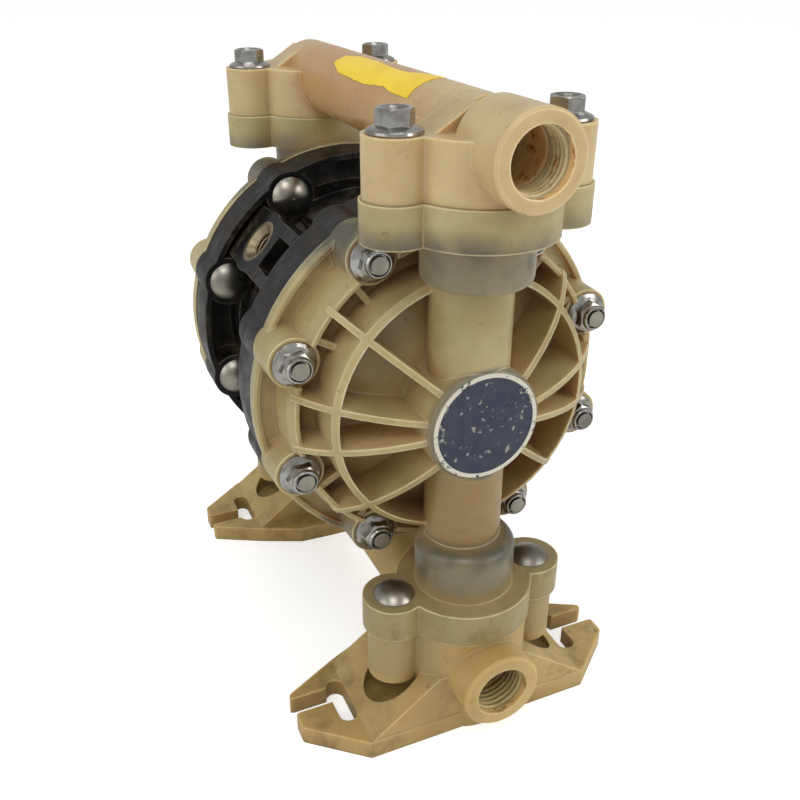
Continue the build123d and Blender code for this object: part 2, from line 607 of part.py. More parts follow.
# ---- diaphragm train ----------------------------------------------------------------------------
def diaphragm():
    """Flexible disc: flat between the plates, one round convolution, and a bead at the rim."""
    a, b = AIR_PLATE[1], FLUID_PLATE_BASE
    roll_in = PLATE_R + 3
    roll_out = CHAMBER_R - 4
    rise = 6.0
    bore = SHAFT_R + RUN_GAP
    top = ThreePointArc((roll_in, -b), ((roll_in + roll_out) / 2, -b - rise), (roll_out, -b))
    under = ThreePointArc((roll_out, -a), ((roll_in + roll_out) / 2, -a - rise), (roll_in, -a))
    outline = Curve() + [
        Line((bore, -b), (roll_in, -b)), top,
        Polyline((roll_out, -b), (CHAMBER_R, -b), (CHAMBER_R, -PARTING - BEAD), (DIAPHRAGM_R, -PARTING - BEAD),
                 (DIAPHRAGM_R, -PARTING + BEAD), (CHAMBER_R, -PARTING + BEAD), (CHAMBER_R, -a), (roll_out, -a)),
        under, Polyline((roll_in, -a), (bore, -a), (bore, -b))]
    return revolve(make_face(outline), axis=Axis.Y, revolution_arc=360)


def air_plate():
    a, b = AIR_PLATE
    return turned([(SHAFT_R, a), (PLATE_R - 4, a), (PLATE_R, a + 3), (PLATE_R, b), (SHAFT_R, b)])


def fluid_plate():
    """Fluid side plate with its stud boss moulded over."""
    a = FLUID_PLATE_BASE
    return turned([(0, SHAFT_HALF), (SHAFT_R, SHAFT_HALF), (SHAFT_R, a), (PLATE_R - 1, a), (PLATE_R, a + 2), (PLATE_R - 3, a + 6),
                   (18, a + 9), (13, a + 14), (10, a + 16), (0, a + 16.5)])


def diaphragm_train():
    shaft = along_y(SHAFT_R, -SHAFT_HALF, SHAFT_HALF)
    keep("diaphragm_shaft", chamfer(shaft.edges().filter_by(GeomType.CIRCLE), 0.8))
    for name, piece in (("diaphragm", diaphragm()), ("air_plate", air_plate()), ("fluid_plate", fluid_plate())):
        keep(f"{name}_front", piece)
        keep(f"{name}_rear", behind(piece))


def shaft_guides():
    """Bearings and cup seals that the diaphragm shaft runs in, and the pilot spool with its bushes."""
    run = SHAFT_R + RUN_GAP
    bearing = along_y(BEARING_R, *BEARING) - along_y(run, 10, 50)
    seal = along_y(SEAL_R, BEARING[1], DISH_FLOOR) - along_y(run, 10, 50)
    keep("shaft_bearings", bearing, behind(bearing))
    keep("shaft_seals", seal, behind(seal))
    bush = along_y(PILOT_BUSH_R, PILOT_BUSH, DISH_FLOOR, 0, PILOT_Z) - along_y(PILOT_R + RUN_GAP, 19, 50, 0, PILOT_Z)
    keep("pilot_bushes", bush, behind(bush))
    reach = DISH_FLOOR + 3.3
    rod = along_y(PILOT_R, -reach, reach, 0, PILOT_Z)
    lands = [along_y(PILOT_R + 2.3, d - 3, d + 3, 0, PILOT_Z) for d in (-10, 0, 10)]
    keep("pilot_spool", merged([rod] + lands))


# ---- assembly -----------------------------------------------------------------------------------
def build():
    keep("center_housing", center_housing())
    cover = fluid_cover()
    keep("fluid_cover_front", cover)
    keep("fluid_cover_rear", behind(cover))
    keep("outlet_manifold", outlet_manifold())
    keep("inlet_manifold", inlet_manifold())
    keep("manifold_orings", *manifold_orings())
    keep("hub_badge", along_y(BADGE_R, HUB_DEPTH - 0.5, HUB_DEPTH - 0.5 + BADGE_THICK))
    keep("air_inlet_insert", air_insert())
    keep("muffler", muffler())
    check_valves()
    cover_fasteners()
    manifold_fasteners()
    air_valve()
    keep("air_valve_spool", air_valve_spool())
    diaphragm_train()
    shaft_guides()


def save():
    os.makedirs("parts", exist_ok=True)
    for name, shape in nodes.items():
        export_step(shape, f"parts/{name}.step")


build()
save()
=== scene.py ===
import bmesh
import bpy
import math
import random
from mathutils import Matrix, Vector
from mathutils.geometry import delaunay_2d_cdt


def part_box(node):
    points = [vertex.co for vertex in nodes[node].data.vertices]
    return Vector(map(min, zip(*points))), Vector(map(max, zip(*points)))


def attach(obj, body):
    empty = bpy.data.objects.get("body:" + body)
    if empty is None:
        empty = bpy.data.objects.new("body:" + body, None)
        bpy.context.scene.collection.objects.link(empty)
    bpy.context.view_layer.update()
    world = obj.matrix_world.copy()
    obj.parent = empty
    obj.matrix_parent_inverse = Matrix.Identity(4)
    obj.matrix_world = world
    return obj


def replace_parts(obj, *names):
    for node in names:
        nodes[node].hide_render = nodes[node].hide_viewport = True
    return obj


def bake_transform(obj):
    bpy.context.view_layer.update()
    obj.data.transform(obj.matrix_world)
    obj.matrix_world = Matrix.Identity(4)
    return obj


# Air operated diaphragm pump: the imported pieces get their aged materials, and the small details
# that they leave out are added. Metres, +Z up, diaphragm shaft along Y, pump's front towards -Y.

MM = 0.001
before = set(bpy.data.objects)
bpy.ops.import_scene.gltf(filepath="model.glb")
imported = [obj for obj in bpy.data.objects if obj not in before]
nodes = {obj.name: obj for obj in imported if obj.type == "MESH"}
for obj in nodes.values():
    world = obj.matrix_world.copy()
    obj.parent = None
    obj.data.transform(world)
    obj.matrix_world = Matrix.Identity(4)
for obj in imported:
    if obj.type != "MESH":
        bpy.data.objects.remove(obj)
SHAFT_Z = sum(corner[2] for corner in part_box("diaphragm_shaft")) / 2
OUTLET_Z = SHAFT_Z + 0.1203     # axis of the outlet tube
INLET_Z = SHAFT_Z - 0.130       # axis of the inlet tube
RISER_Y = 0.100                 # the risers and the manifolds' bolts stand this far from the middle
MANIFOLD_BOLT_X = 37.4          # mm to each side of the riser
NUT_SEAT = 76.5                 # mm from the middle of the pump to the cover nuts' seats
NUT_CIRCLE = 79                 # mm, radius of the circle of cover nuts
BOLT_ANGLES = (20.5, 61.5, 118.5, 159.5, 200.5, 241.5, 298.5, 339.5)    # degrees round the shaft
INSERT_ANGLE = 139              # degrees round the shaft to the air inlet
INSERT_OUT = 79.5               # mm from the shaft to the air inlet's mouth
INSERT_Y = 15                   # mm behind the middle of the pump
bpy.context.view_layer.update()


# ---- materials ----------------------------------------------------------------------------------
# Lengths in them are metres, and a pattern's scale is one over the width of its patches.

def rgb(code):
    """sRGB hex to linear RGBA."""
    parts = [int(code[i:i + 2], 16) / 255 for i in (1, 3, 5)]
    linear = [c / 12.92 if c <= 0.04045 else ((c + 0.055) / 1.055) ** 2.4 for c in parts]
    return (*linear, 1.0)


def fill(tree, node, inputs):
    """Link each input that is given a socket, and set each that is given a value."""
    for key, value in inputs.items():
        if isinstance(value, bpy.types.NodeSocket):
            tree.links.new(value, node.inputs[key])
        else:
            node.inputs[key].default_value = value


def add(tree, kind, inputs, out=0, **settings):
    """Add a shader node with its settings and inputs; the result is one of its outputs."""
    node = tree.nodes.new("ShaderNode" + kind)
    for key, value in settings.items():
        setattr(node, key, value)
    fill(tree, node, inputs)
    return node.outputs[out]


def blank(name):
    """New material, its node tree and its shader."""
    material = bpy.data.materials.new(name)
    material.use_nodes = True
    tree = material.node_tree
    shader = next(n for n in tree.nodes if n.type == "BSDF_PRINCIPLED")
    return material, tree, shader


def zone(tree, *limits):
    """Mask of the place where every limit holds. A limit is a measure, where it begins and where
    it is full, and then its strength at both, unless that is 0 and 1."""
    mask = None
    for limit in limits:
        part = add(tree, "MapRange", dict(enumerate(limit)))
        if mask is None:
            mask = part
        else:
            mask = add(tree, "Math", {0: mask, 1: part}, operation="MULTIPLY")
    return mask


def layered_colour(tree, main, colour_layers):
    """Main colour, with the colour of each (mask, colour) pair laid over what is there so far.
    A colour Mix has its factor at 0, its colours at 6 and 7, and its result at 2."""
    colour = rgb(main)
    for mask, tint in colour_layers:
        colour = add(tree, "Mix", {0: mask, 6: colour, 7: rgb(tint)}, 2, data_type="RGBA")
    return colour


def from_line(tree, place, centre, keep):
    """Distance from a line through centre; keep is 0 along the line's own direction."""
    away = add(tree, "VectorMath", {0: place, 1: centre}, operation="SUBTRACT")
    flat = add(tree, "VectorMath", {0: away, 1: keep}, operation="MULTIPLY")
    return add(tree, "VectorMath", {0: flat}, "Value", operation="LENGTH")


def rounded(tree, radius):
    """Normal with softened edges, and the limit that holds on outer edges."""
    soft = add(tree, "Bevel", {"Radius": radius}, samples=6)
    true = add(tree, "NewGeometry", {}, "True Normal")
    turn = add(tree, "VectorMath", {0: soft, 1: true}, "Value", operation="DOT_PRODUCT")
    return soft, (turn, 0.985, 0.86)


def aged_plastic(name, main, pale, recess_light_and_shade, grime, edge, own_marks_and_painted_light, rough=0.36, grain=0.1):
    """Natural polypropylene, injection moulded and unpainted: milky and lit from within, yellowed
    in clouds, with a painted tone in its recesses, standing in for light through the plastic where
    it is lighter and for shade where it is darker, and a painted highlight along its outer edges,
    patchy like wear. The last argument gives the places that this piece has of its own, as
    (mask, colour) pairs: stains, and on some pieces painted light."""
    material, tree, shader = blank(name)
    place = add(tree, "TexCoord", {}, "Object")
    clouds = add(tree, "TexNoise", {"Vector": place, "Scale": 1 / (41.67 * MM), "Detail": 5.0,
                                    "Roughness": 0.55})
    specks = add(tree, "TexNoise", {"Vector": place, "Scale": 1 / (4.35 * MM), "Detail": 3.0,
                                    "Roughness": 0.6})
    highlight_and_wear_noise = add(tree, "TexNoise", {"Vector": place, "Scale": 1 / (11.11 * MM), "Detail": 4.0,
                                    "Roughness": 0.55})
    recess = add(tree, "AmbientOcclusion", {"Distance": 20 * MM}, "AO", samples=6)
    soft, edges = rounded(tree, 1.4 * MM)
    # The layers hold real stains and wear, and also painted light and shade: the recess tone and
    # the edge highlight.
    colour_layers = ((zone(tree, (clouds, 0.36, 0.66)), pale),
              *own_marks_and_painted_light(tree, place),
              # Recesses, found by ambient occlusion, take a painted tone: painted light through the
              # milky plastic where it is lighter than the main colour, painted shade where it is
              # darker.
              (zone(tree, (recess, 0.20, 0.80, 0.7, 0.0)), recess_light_and_shade),
              (zone(tree, (specks, 0.64, 0.76, 0.0, 0.55)), grime),
              # Outer edges get a painted highlight, pale and broken into patches like wear.
              (zone(tree, edges, (highlight_and_wear_noise, 0.35, 0.6, 0.3, 0.8)), edge))
    # The mould's own grain is about 0.2 mm, too fine to show; it is drawn twelve times as coarse.
    texture = add(tree, "TexNoise", {"Vector": place, "Scale": 1 / (2.38 * MM), "Detail": 3.0,
                                     "Roughness": 0.55})
    fill(tree, shader, {
        "Base Color": layered_colour(tree, main, colour_layers),
        "Roughness": add(tree, "MapRange", {"Value": clouds, "From Min": 0.3, "From Max": 0.7,
                                            "To Min": rough - 0.08, "To Max": rough + 0.1}),
        "Normal": add(tree, "Bump", {"Strength": grain, "Distance": 0.6 * MM, "Height": texture,
                                     "Normal": soft}),
        "IOR": 1.49,
        "Subsurface Weight": 0.7,
        "Subsurface Radius": (6 * MM, 4.5 * MM, 2.5 * MM),
        "Subsurface Scale": 1.0})
    return material


def cover_soiling(tree, place):
    """Brown towards the foot and on the lower neck, grey green on the solid collars with dark
    scuffs on them, and a grey ring where the badge's glue has crept."""
    y = add(tree, "SeparateXYZ", {0: place}, "Y")
    z = add(tree, "SeparateXYZ", {0: place}, "Z")
    height = add(tree, "Math", {0: z, 1: SHAFT_Z}, operation="SUBTRACT")
    tall = add(tree, "Math", {0: height}, operation="ABSOLUTE")
    riser = from_line(tree, place, (0, -RISER_Y, 0), (1, 1, 0))
    shaft = from_line(tree, place, (0, 0, SHAFT_Z), (1, 0, 1))
    streaks = add(tree, "TexNoise", {"Vector": place, "Scale": 1 / (13.33 * MM), "Detail": 5.0,
                                     "Roughness": 0.65})
    scuffs = add(tree, "TexNoise", {"Vector": place, "Scale": 1 / (29.41 * MM), "Detail": 2.0,
                                    "Roughness": 0.55})
    foot = (height, 0.030, -0.090)
    neck = (height, -0.022, -0.030)
    collar_foot = (tall, 0.0615, 0.066)
    collar_top = (tall, 0.094, 0.082)
    badge_edge = (shaft, 0.0285, 0.0262)
    hub_face = (y, -0.108, -0.112)
    return ((zone(tree, foot, (streaks, 0.5, 0.7, 0.0, 0.6)), "#6B5530"),
            (zone(tree, (*foot, 0.0, 0.45)), "#7A673F"),
            (zone(tree, (*neck, 0.0, 0.7), (riser, 0.030, 0.019)), "#86673C"),
            (zone(tree, (*collar_foot, 0.0, 0.75), collar_top), "#6F6D58"),
            (zone(tree, collar_foot, collar_top, (scuffs, 0.46, 0.62)), "#4C4A3B"),
            (zone(tree, (*badge_edge, 0.0, 0.8), hub_face), "#4A4A44"))


def outlet_marks_and_painted_light(tree, place):
    """Amber where product has soaked into the tube, and rust coloured residue inside its bore,
    whose pale colour is painted light coming through the plastic.
    """
    y = add(tree, "SeparateXYZ", {0: place}, "Y")
    core = from_line(tree, place, (0, 0, OUTLET_Z), (1, 0, 1))
    along = from_line(tree, place, (0, 0.02, 0), (0, 1, 0))
    blotches = add(tree, "TexNoise", {"Vector": place, "Scale": 1 / (22.22 * MM), "Detail": 3.0,
                                      "Roughness": 0.55})
    crust = add(tree, "TexNoise", {"Vector": place, "Scale": 1 / (6.67 * MM), "Detail": 6.0,
                                   "Roughness": 0.75})
    tube_wall = (core, 0.021, 0.0165)
    tube_length = (along, 0.105, 0.050)
    bore = (core, 0.0137, 0.0131)
    bore_length = (y, 0.105, 0.100)
    return ((zone(tree, (*tube_wall, 0.0, 0.85), tube_length), "#A9783F"),
            (zone(tree, tube_wall, tube_length, (blotches, 0.5, 0.7)), "#B08C58"),
            # The bore's pale colour is painted light: it stands in for light coming through the
            # plastic into the bore.
            (zone(tree, bore, bore_length), "#E0C48E"),
            (zone(tree, bore, bore_length, (crust, 0.53, 0.62)), "#9E5A22"))


def inlet_marks_and_painted_light(tree, place):
    """Grimy towards the ground, greyer on the bolt lugs as painted shade of the bolts inside,
    brown residue inside the port, whose pale colour is painted light coming through the plastic.
    """
    x = add(tree, "SeparateXYZ", {0: place}, "X")
    y = add(tree, "SeparateXYZ", {0: place}, "Y")
    z = add(tree, "SeparateXYZ", {0: place}, "Z")
    side = add(tree, "Math", {0: x}, operation="ABSOLUTE")
    core = from_line(tree, place, (0, 0, INLET_Z), (1, 0, 1))
    dirt = add(tree, "TexNoise", {"Vector": place, "Scale": 1 / (16.67 * MM), "Detail": 6.0,
                                  "Roughness": 0.7})
    crust = add(tree, "TexNoise", {"Vector": place, "Scale": 1 / (7.69 * MM), "Detail": 6.0,
                                   "Roughness": 0.75})
    ground = (z, 0.035, 0.0)
    lug_side = (side, 0.019, 0.026)
    lug_height = (z, 0.029, 0.036)
    bore = (core, 0.0137, 0.0131)
    bore_length = (y, 0.105, 0.100)
    return ((zone(tree, ground, (dirt, 0.48, 0.68, 0.0, 0.8)), "#5B4524"),
            # The greyer lugs are painted shade: the dark steel bolts inside seen through the
            # plastic.
            (zone(tree, (*lug_side, 0.0, 0.65), lug_height), "#938563"),
            # The bore's pale colour is painted light: it stands in for light coming through the
            # plastic into the port.
            (zone(tree, bore, bore_length), "#C9AB70"),
            (zone(tree, bore, bore_length, (crust, 0.5, 0.64)), "#6E4C20"))


def worn_black(name):
    """Black polypropylene, injection moulded: a dull shine where it is wiped, brown grey dust in
    its corners, and grey along its outer edges, a painted highlight patchy with dust."""
    material, tree, shader = blank(name)
    place = add(tree, "TexCoord", {}, "Object")
    dust = add(tree, "TexNoise", {"Vector": place, "Scale": 1 / (14.29 * MM), "Detail": 6.0,
                                  "Roughness": 0.72})
    recess = add(tree, "AmbientOcclusion", {"Distance": 10 * MM}, "AO", samples=6)
    soft, edges = rounded(tree, 1.0 * MM)
    colour_layers = ((zone(tree, (dust, 0.54, 0.80, 0.0, 0.7)), "#544A3C"),
              (zone(tree, (recess, 0.75, 0.35, 0.0, 0.5), (dust, 0.35, 0.6)), "#6A5D49"),
              # Grey on the outer edges: a painted highlight, patchy with dust.
              (zone(tree, edges, (dust, 0.4, 0.65, 0.05, 0.7)), "#8B7F6C"))
    # The mould's own grain is about 0.2 mm, too fine to show; it is drawn seven times as coarse.
    texture = add(tree, "TexNoise", {"Vector": place, "Scale": 1 / (1.43 * MM), "Detail": 3.0,
                                     "Roughness": 0.55})
    fill(tree, shader, {
        "Base Color": layered_colour(tree, "#090909", colour_layers),
        "Roughness": add(tree, "MapRange", {"Value": dust, "From Min": 0.4, "From Max": 0.7,
                                            "To Min": 0.34, "To Max": 0.7}),
        "Normal": add(tree, "Bump", {"Strength": 0.2, "Distance": 0.5 * MM, "Height": texture,
                                     "Normal": soft}),
        "Specular IOR Level": 0.3})
    return material


def mottled(name, main, spots, rough, metal=0.0, across=16.67, edge=0.4):
    """Even finish, duller in faint spots so many mm across, its edges rounded by edge mm. spots is
    their colour, or None where the colour is even as well."""
    material, tree, shader = blank(name)
    place = add(tree, "TexCoord", {}, "Object")
    dull = add(tree, "TexNoise", {"Vector": place, "Scale": 1 / (across * MM), "Detail": 4.0,
                                  "Roughness": 0.55})
    colour_layers = ((zone(tree, (dull, 0.4, 0.7)), spots),) if spots else ()
    fill(tree, shader, {
        "Base Color": layered_colour(tree, main, colour_layers),
        "Metallic": metal,
        "Roughness": add(tree, "MapRange", {"Value": dull, "From Min": 0.35, "From Max": 0.7,
                                            "To Min": rough, "To Max": rough + 0.12}),
        "Normal": add(tree, "Bevel", {"Radius": edge * MM}, samples=4)})
    return material


def printed_foil(name):
    """Polyester foil printed navy, nothing on it: satin, with a chipped off-white ring round its
    edge and grey flecks where the ink has gone."""
    material, tree, shader = blank(name)
    place = add(tree, "TexCoord", {}, "Object")
    radius = from_line(tree, place, (0, 0, SHAFT_Z), (1, 0, 1))
    chips = add(tree, "TexNoise", {"Vector": place, "Scale": 1 / (6.25 * MM), "Detail": 5.0,
                                   "Roughness": 0.7})
    flecks = add(tree, "TexNoise", {"Vector": place, "Scale": 1 / (3.85 * MM), "Detail": 4.0,
                                    "Roughness": 0.7})
    ring = (radius, 0.0233, 0.0236)
    colour_layers = ((zone(tree, (chips, 0.4, 0.6)), "#262A3A"),
              (zone(tree, ring, (chips, 0.40, 0.44, 0.05, 1.0)), "#C4C0B0"),
              (zone(tree, (flecks, 0.60, 0.64, 0.0, 0.9)), "#8F8D84"))
    fill(tree, shader, {"Base Color": layered_colour(tree, "#181D33", colour_layers), "Roughness": 0.38})
    return material


# The covers are greyer, the outlet side is warmer, glossier and soaked with product, and the inlet
# side is browner and scratched dull by the ground.
# Of each plastic's colours, the third is the painted tone of its recesses: lighter on the covers
# and warm amber on the outlet side, as painted light through the plastic, and darker on the inlet
# side, as painted shade. The fifth is the painted highlight on its outer edges, patchy like wear.
cover_plastic = aged_plastic("cover_polypropylene", "#968759", "#B0A277", "#C09C70", "#6B5630",
                             "#D8CDA6", cover_soiling)
outlet_plastic = aged_plastic("outlet_polypropylene", "#B0966A", "#C4B082", "#BC9058", "#8F6E3E",
                              "#DCCCA4", outlet_marks_and_painted_light, rough=0.28)
inlet_plastic = aged_plastic("inlet_polypropylene", "#A78A50", "#B8A068", "#947440", "#675230",
                             "#C8B687", inlet_marks_and_painted_light, rough=0.5, grain=0.22)
black_plastic = worn_black("black_polypropylene")
# Stainless steel, cold formed: a soft grey shine, browner in spots.
stainless = mottled("stainless_steel", "#989488", "#74706A", 0.30, 1.0)
# Zinc plated steel, cold formed: bright, with dull grey spots where the plating has aged.
zinc = mottled("zinc_plated_steel", "#A9A8A4", "#78746B", 0.16, 1.0, across=6.25, edge=0.3)
# Nickel plated brass, turned: warm grey, yellower where the nickel is thin.
brass = mottled("nickel_plated_brass", "#9C8F74", "#6F6350", 0.35, 1.0)
# PTFE, turned: dense white with a waxy shine.
ptfe = mottled("ptfe", "#E8E6DF", None, 0.35)
# Nitrile rubber, moulded: dull near-black.
rubber = mottled("nitrile_rubber", "#1C1B1A", None, 0.6)
# Thermoplastic elastomer, compression moulded: cream, with hardly any shine.
elastomer = mottled("diaphragm_elastomer", "#D9CFB4", None, 0.5)
# Aluminium, turned: pale, with an even broad shine.
aluminium = mottled("aluminium", "#C4C5C6", None, 0.35, 1.0)
# Acetal, turned: white with a slight shine.
acetal = mottled("acetal", "#E2E0D8", None, 0.4)
# Vinyl film, printed yellow: strong even colour and a plastic shine, a little deeper in patches.
label_yellow = mottled("label_vinyl", "#EFCB00", "#E0B800", 0.3, across=25.0)
badge_blue = printed_foil("badge_foil")

FINISH = {
    cover_plastic: ("fluid_cover_front", "fluid_cover_rear", "fluid_plate_front",
                    "fluid_plate_rear"),
    outlet_plastic: ("outlet_manifold", "outlet_valve_seat_front", "outlet_valve_seat_rear",
                     "outlet_ball_cage_front", "outlet_ball_cage_rear"),
    inlet_plastic: ("inlet_manifold", "inlet_valve_seat_front", "inlet_valve_seat_rear",
                    "inlet_ball_cage_front", "inlet_ball_cage_rear"),
    black_plastic: ("center_housing", "air_valve_housing", "air_valve_cap_top",
                    "air_valve_cap_bottom", "muffler"),
    stainless: ("cover_bolts", "cover_nuts", "outlet_manifold_bolts", "outlet_bolt_inserts",
                "inlet_manifold_bolts", "inlet_manifold_nuts", "air_valve_screws",
                "diaphragm_shaft", "pilot_spool"),
    brass: ("air_inlet_insert",),
    ptfe: ("inlet_ball_front", "inlet_ball_rear", "outlet_ball_front", "outlet_ball_rear",
           "manifold_orings"),
    rubber: ("air_valve_gasket", "shaft_seals"),
    elastomer: ("diaphragm_front", "diaphragm_rear"),
    aluminium: ("air_plate_front", "air_plate_rear", "air_valve_spool"),
    acetal: ("shaft_bearings", "pilot_bushes"),
    badge_blue: ("hub_badge",),
}
for material, names in FINISH.items():
    for name in names:
        mesh = nodes[name].data
        mesh.materials.clear()
        mesh.materials.append(material)


# ---- pieces that the CAD leaves plain -----------------------------------------------------------
def new_object(name, mesh, material):
    """Object from a bmesh, with its faces turned outwards."""
    data = bpy.data.meshes.new(name)
    bmesh.ops.recalc_face_normals(mesh, faces=mesh.faces[:])
    mesh.to_mesh(data)
    mesh.free()
    data.materials.append(material)
    piece = bpy.data.objects.new(name, data)
    bpy.context.collection.objects.link(piece)
    return piece


def new_piece(name, mesh, material):
    """Object that rides on the pump's body."""
    piece = new_object(name, mesh, material)
    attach(piece, "pump_body")
    return piece


def skin(mesh, loops):
    """Join each loop of vertices to the next, and close both ends."""
    for near, far in zip(loops, loops[1:]):
        for i in range(len(near)):
            j = (i + 1) % len(near)
            mesh.faces.new((near[i], near[j], far[j], far[i]))
    mesh.faces.new(loops[0][::-1])
    mesh.faces.new(loops[-1])


def round_the(angle, radius):
    """Both parts of a radius at an angle."""
    return radius * math.cos(angle), radius * math.sin(angle)


def stacked(mesh, rings, place, steps=72):
    """Rings joined into one closed skin; each ring gives (radius, height) for an angle, in mm."""
    loops = []
    for ring in rings:
        loop = []
        for step in range(steps):
            angle = 2 * math.pi * step / steps
            radius, height = ring(angle)
            spot = Vector((*round_the(angle, radius), height)) * MM
            loop.append(mesh.verts.new(place @ spot))
        loops.append(loop)
    skin(mesh, loops)


def circles(*rings):
    """Plain round rings from (radius, height) pairs."""
    return [lambda angle, ring=ring: ring for ring in rings]


def hexagon(flats, top, base):
    """Rings of a hexagon, flats wide, whose corners are turned off below and, more, on top."""
    def past_flat(angle):
        return flats / 2 / math.cos((angle + math.pi / 6) % (math.pi / 3) - math.pi / 6) - flats / 2

    def lower(angle):
        return flats / 2 + past_flat(angle), base - 0.5 * past_flat(angle)

    def upper(angle):
        return flats / 2 + past_flat(angle), top - 0.58 * (past_flat(angle) + 0.15)

    return [lower, upper] + circles((flats / 2 - 0.1, top))


def locking_nut():
    """M8 flanged nut, 9 mm tall, with a rolled collar round its locking ring."""
    return (circles((10.0, 0), (10.2, 0.4), (10.0, 1.3), (8.6, 2.2))
            + hexagon(13.2, 7.0, 2.9)
            + circles((6.1, 7.2), (6.0, 8.4), (5.6, 9.0), (5.0, 9.0), (4.7, 8.5), (4.5, 7.6)))


HEAD_HEIGHT = 9.3    # mm, manifold bolt's head with its flange


def flange_head():
    """M8 flange bolt head, hollowed on top."""
    return (circles((11.0, 0), (11.2, 0.5), (10.9, 1.5), (8.8, 2.5))
            + hexagon(13.6, HEAD_HEIGHT, 3.2)
            + circles((5.6, HEAD_HEIGHT), (5.2, 8.9), (4.4, 8.3), (1.0, 8.2)))


def cover_nuts():
    """Eight locking nuts on each cover, tightened to no common angle."""
    mesh = bmesh.new()
    for side in (-1, 1):
        for index, degrees in enumerate(BOLT_ANGLES):
            x, z = round_the(math.radians(degrees), NUT_CIRCLE * MM)
            seat = Matrix.Translation((x, side * NUT_SEAT * MM, SHAFT_Z + z))
            outwards = Matrix.Rotation(math.radians(90 * -side), 4, "X")
            tightened = Matrix.Rotation(0.9 * index + side, 4, "Z")
            stacked(mesh, locking_nut(), seat @ outwards @ tightened)
    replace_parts(new_piece("cover_locking_nuts", mesh, zinc), "cover_nuts")


def outlet_bolts():
    """Four flange bolts through the outlet manifold, with 8 mm shanks."""
    mesh = bmesh.new()
    low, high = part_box("outlet_manifold_bolts")
    shank = (high[2] - low[2]) / MM - HEAD_HEIGHT
    for x in (-MANIFOLD_BOLT_X, MANIFOLD_BOLT_X):
        for side in (-1, 1):
            seat = Matrix.Translation((x * MM, side * RISER_Y, high[2] - HEAD_HEIGHT * MM))
            tightened = Matrix.Rotation(0.4 + 0.03 * x + side, 4, "Z")
            stacked(mesh, flange_head(), seat @ tightened)
            stacked(mesh, circles((4.0, -shank), (4.0, 0.5)), seat, 32)
    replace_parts(new_piece("outlet_flange_bolts", mesh, zinc),
                "outlet_manifold_bolts")


def thread(name, place, material, wall, pitch, length, depth):
    """Ridge of an internal thread in mm, wound round the local Z inwards from the mouth at z = 0.
    It rises from just inside the wall, and fades out over an eighth of its length at each end."""
    turn_steps = 64
    buried = 0.08
    fading = 8
    profile = ((0.0, 0.04), (depth, 0.38), (depth, 0.62), (0.0, 0.96))    # rise, share of pitch
    mesh = bmesh.new()
    count = int(turn_steps * (length / pitch))
    loops = []
    for step in range(count + 1):
        angle = 2 * math.pi * step / turn_steps
        fade = min(1.0, fading * step / count, fading * (count - step) / count)
        loop = []
        for rise, share in profile:
            height = -(step / turn_steps + share) * pitch
            spot = Vector((*round_the(angle, wall + buried - rise * fade), height)) * MM
            loop.append(mesh.verts.new(place @ spot))
        loops.append(loop)
    skin(mesh, loops)
    new_piece(name, mesh, material)


def port_threads():
    """Pipe threads of the two ports, behind a plain mouth, and of the air inlet's insert."""
    plain_mouth = 1.5 * MM
    towards_front = Matrix.Rotation(math.radians(90), 4, "X")
    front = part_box("outlet_manifold")[0][1]
    for name, height, material in (("outlet_thread", OUTLET_Z, outlet_plastic),
                                   ("inlet_thread", INLET_Z, inlet_plastic)):
        mouth = Matrix.Translation((0, front + plain_mouth, height)) @ towards_front
        thread(name, mouth, material,
               wall=13.22, pitch=2.6, length=14.0, depth=1.1)
    x, z = round_the(math.radians(INSERT_ANGLE), INSERT_OUT * MM)
    mouth = Matrix.Translation((x, INSERT_Y * MM, SHAFT_Z + z))
    outwards = Matrix.Rotation(math.radians(90 - INSERT_ANGLE), 4, "Y")
    thread("air_thread", mouth @ outwards, brass,
           wall=6.58, pitch=1.6, length=11.0, depth=0.75)


LABEL_RADIUS = 17.75    # mm, just off the outlet tube
LABEL_DEGREE = 0.31     # mm round the tube for one degree
LABEL_EDGE = ((35.7, -40), (33, -21), (20, -9), (0, -8), (-12, -11), (-25, -14), (-38, -13),
              (-47, -2), (-55, 9), (-61, 10), (-61, -12), (-60.5, -30), (-59.5, -55), (-40, -54),
              (-33, -50), (-27, -52), (-11, -57), (22, -54))


def tube_label():
    """Torn vinyl label wrapped round the outlet tube: the corners above are mm along Y and degrees
    from the top, and the film has frayed between them."""
    random.seed(4)
    tear, fray = 1.2, 0.25
    outline = []
    for (y0, a0), (y1, a1) in zip(LABEL_EDGE, LABEL_EDGE[1:] + LABEL_EDGE[:1]):
        steps = max(2, int(math.hypot(y1 - y0, (a1 - a0) * LABEL_DEGREE) / tear))
        for step in range(steps):
            share = step / steps
            off = random.uniform(-fray, fray)
            outline.append(Vector((y0 + (y1 - y0) * share + off,
                                   (a0 + (a1 - a0) * share) * LABEL_DEGREE + off)))
    inner = [Vector((y, a)) for y in range(-60, 36, 3) for a in range(-18, 4, 2)]
    edges = [(i, (i + 1) % len(outline)) for i in range(len(outline))]
    spots, _, faces, *_ = delaunay_2d_cdt(outline + inner, edges, [], 1, 1e-4)
    mesh = bmesh.new()
    verts = []
    for spot in spots:
        up, sideways = round_the(spot.y / LABEL_RADIUS, LABEL_RADIUS * MM)
        verts.append(mesh.verts.new((sideways, spot.x * MM, OUTLET_Z + up)))
    for face in faces:
        mesh.faces.new([verts[i] for i in face])
    loose = [v for v in mesh.verts if not v.link_faces]
    bmesh.ops.delete(mesh, geom=loose, context="VERTS")
    piece = new_piece("tube_label", mesh, label_yellow)
    thickness = piece.modifiers.new("thickness", "SOLIDIFY")
    thickness.thickness = 0.3 * MM


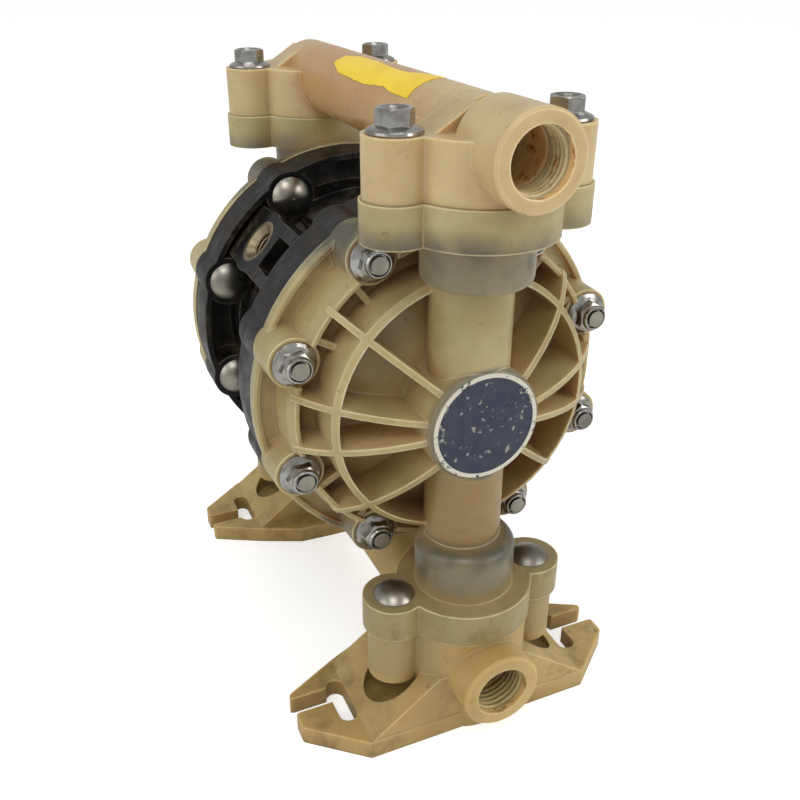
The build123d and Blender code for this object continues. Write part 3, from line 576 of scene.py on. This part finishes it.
def diaphragm_outline():
    """Half section as (radius, depth) in mm: flat disc, one round convolution, the rim's bead."""
    outer, inner = 58, 55                 # depths of the disc's two faces
    middle, half_width = 51.75, 10.75     # the convolution
    bend, sunk = 12.63, 6.63              # its radius, and how far its centre lies below the disc
    roll = []
    for step in range(13):
        across = half_width * (step / 6 - 1)
        roll.append((middle + across, math.sqrt(bend ** 2 - across ** 2) - sunk))
    disc = (8.05, 20, 32)
    bead = [(66.5, 58), (66.5, 58.5), (72.5, 58.5), (72.5, 54.5), (66.5, 54.5), (66.5, 55)]
    return ([(radius, outer) for radius in disc] + [(r, outer + rise) for r, rise in roll] + bead
            + [(r, inner + rise) for r, rise in reversed(roll)]
            + [(radius, inner) for radius in reversed(disc)])


def diaphragm(name, side):
    """Twelve wedges that are clamped in the housing from 62 mm off the shaft outwards."""
    wedges, steps = 12, 5
    width = 360 / wedges    # degrees
    outline = diaphragm_outline()
    for wedge in range(wedges):
        mesh = bmesh.new()
        loops = []
        for step in range(steps + 1):
            angle = math.radians(width * wedge + width / steps * step)
            loop = []
            for radius, depth in outline:
                x, z = round_the(angle, radius * MM)
                loop.append(mesh.verts.new((x, side * depth * MM, SHAFT_Z + z)))
            loops.append(loop)
        skin(mesh, loops)
        piece = new_object(f"{name}_{wedge + 1:02d}", mesh, elastomer)
        x, z = round_the(math.radians(width * (wedge + 0.5)), MM)
        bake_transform(piece)
        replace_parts(piece, name)


cover_nuts()
outlet_bolts()
port_threads()
tube_label()
diaphragm("diaphragm_front", -1)
diaphragm("diaphragm_rear", 1)


# ---- room, light and camera ---------------------------------------------------------------------
def floor():
    """Matt off-white floor, lit up for the camera alone so that it meets the background."""
    bpy.ops.mesh.primitive_plane_add(size=12, location=(0, 0, 0))
    plane = bpy.context.object
    plane.name = "floor"
    material, tree, shader = blank("pale_floor")
    seen = add(tree, "LightPath", {}, "Is Camera Ray")
    fill(tree, shader, {
        "Base Color": rgb("#F2F2F0"),
        "Roughness": 0.7,
        "Emission Color": (1, 1, 1, 1),
        "Emission Strength": add(tree, "MapRange", {"Value": seen, "To Max": 0.45})})
    plane.data.materials.append(material)


LAMPS = {    # place and width in metres, watts
    "key": ((-0.5, -0.9, 1.5), 0.7, 7),
    "right": ((0.95, -0.95, 0.75), 0.8, 7),
    "fill": ((-1.4, -0.3, 0.7), 1.0, 5),
    "top": ((0.3, 0.3, 1.7), 0.6, 2.5),
}


def lamps():
    """Square lamps turned to the middle of the pump."""
    middle = Vector((0, 0, 0.16))
    for name, (place, width, watts) in LAMPS.items():
        light = bpy.data.lights.new(name, "AREA")
        light.size = width
        light.energy = watts
        lamp = bpy.data.objects.new(name, light)
        bpy.context.collection.objects.link(lamp)
        lamp.location = place
        lamp.rotation_euler = (middle - Vector(place)).to_track_quat("-Z", "Y").to_euler()


def room():
    """White surroundings, dimmer as a light than they look."""
    world = bpy.data.worlds.new("room")
    bpy.context.scene.world = world
    world.use_nodes = True
    tree = world.node_tree
    seen = add(tree, "LightPath", {}, "Is Camera Ray")
    fill(tree, tree.nodes["Background"], {
        "Color": (1, 1, 1, 1),
        "Strength": add(tree, "MapRange", {"Value": seen, "To Min": 0.6})})


def eye():
    """Camera to the front left of the pump and above it."""
    camera = bpy.data.cameras.new("camera")
    camera.lens = 40.29
    camera.sensor_width = 36.0
    view = bpy.data.objects.new("camera", camera)
    bpy.context.collection.objects.link(view)
    right = Vector((0.9146, -0.4043, 0.0043))
    down = Vector((-0.1831, -0.4237, -0.8871))
    ahead = Vector((0.3604, 0.8106, -0.4616))
    turn = Matrix((right, -down, -ahead)).transposed().to_4x4()
    view.matrix_world = Matrix.Translation((-0.17332, -0.41169, 0.19072 + SHAFT_Z)) @ turn
    bpy.context.scene.camera = view


floor()
lamps()
room()
eye()
bpy.context.scene.view_settings.view_transform = "Standard"
